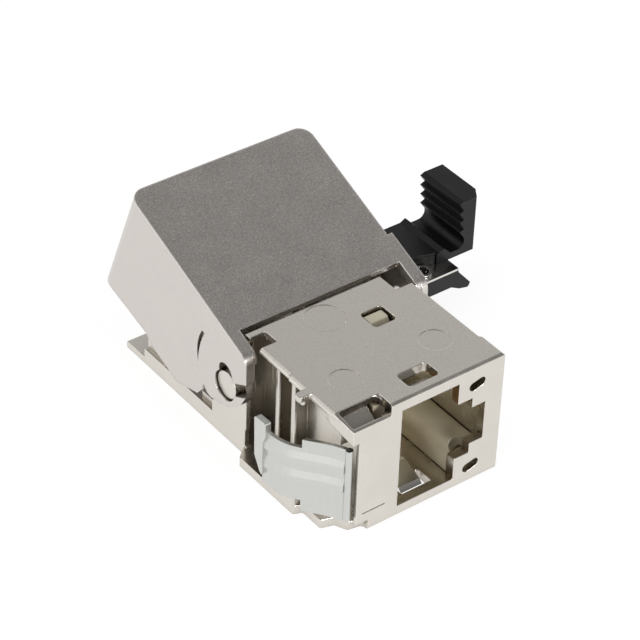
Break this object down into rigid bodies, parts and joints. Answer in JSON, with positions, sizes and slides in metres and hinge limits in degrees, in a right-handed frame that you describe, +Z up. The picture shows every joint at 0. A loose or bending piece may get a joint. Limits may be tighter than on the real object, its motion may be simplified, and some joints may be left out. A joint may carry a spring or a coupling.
{
  "type": "modular jack module",
  "caption": "Shielded modular jack module for a panel opening: cast metal body with a plug port, side latch, hinged rear cover and a sliding cable clamp.",
  "frame": {"origin": "middle of the plug opening in the port face", "axes": "+X towards the plug tab side, +Y into the port and to the rear, +Z up with the module lying on its flat side"},
  "size_m": [0.0404, 0.0392, 0.0214],
  "materials": {
    "nickel_casting": "satin nickel plate on a zinc casting",
    "latch_steel": "satin stamped spring steel",
    "black_plastic": "satin",
    "ivory_plastic": "matte",
    "white_plastic": "matte",
    "spring_steel": "bright",
    "gold_plated": "polished",
    "tinned_bronze": "satin",
    "board": "satin"
  },
  "bodies": {
    "body": {"housing": "nickel_casting", "contact_insert": "ivory_plastic", "circuit_board": "board", "idc_block": "ivory_plastic", "wire_manager": "white_plastic", "upper_shield_spring": "spring_steel", "lower_shield_spring": "spring_steel", "plug_contact_1": "gold_plated", "plug_contact_2": "gold_plated", "plug_contact_3": "gold_plated", "plug_contact_4": "gold_plated", "plug_contact_5": "gold_plated", "plug_contact_6": "gold_plated", "plug_contact_7": "gold_plated", "plug_contact_8": "gold_plated", "idc_contact_1": "tinned_bronze", "idc_contact_2": "tinned_bronze", "idc_contact_3": "tinned_bronze", "idc_contact_4": "tinned_bronze", "idc_contact_5": "tinned_bronze", "idc_contact_6": "tinned_bronze", "idc_contact_7": "tinned_bronze", "idc_contact_8": "tinned_bronze"},
    "cover": {"rear_cover": "nickel_casting"},
    "latch": {"latch_lever": "latch_steel"},
    "clamp": {"cable_clamp": "black_plastic", "clamp_shield_plate": "spring_steel"}
  },
  "joints": [
    {"name": "cover_hinge", "type": "hinge", "parent": "body", "child": "cover", "pos_m": [0, 0.0175, 0.0009], "axis": [1, 0, 0], "range_deg": [-21.5, 2]},
    {"name": "latch_flex", "type": "hinge", "parent": "body", "child": "latch", "pos_m": [-0.00895, 0.0008, 0], "axis": [0, 0, -1], "range_deg": [0, 12], "stiffness_Nm_per_rad": 0.02},
    {"name": "clamp_slide", "type": "slide", "parent": "body", "child": "clamp", "axis": [-1, 0, 0], "range_m": [0, 0.0156]}
  ]
}
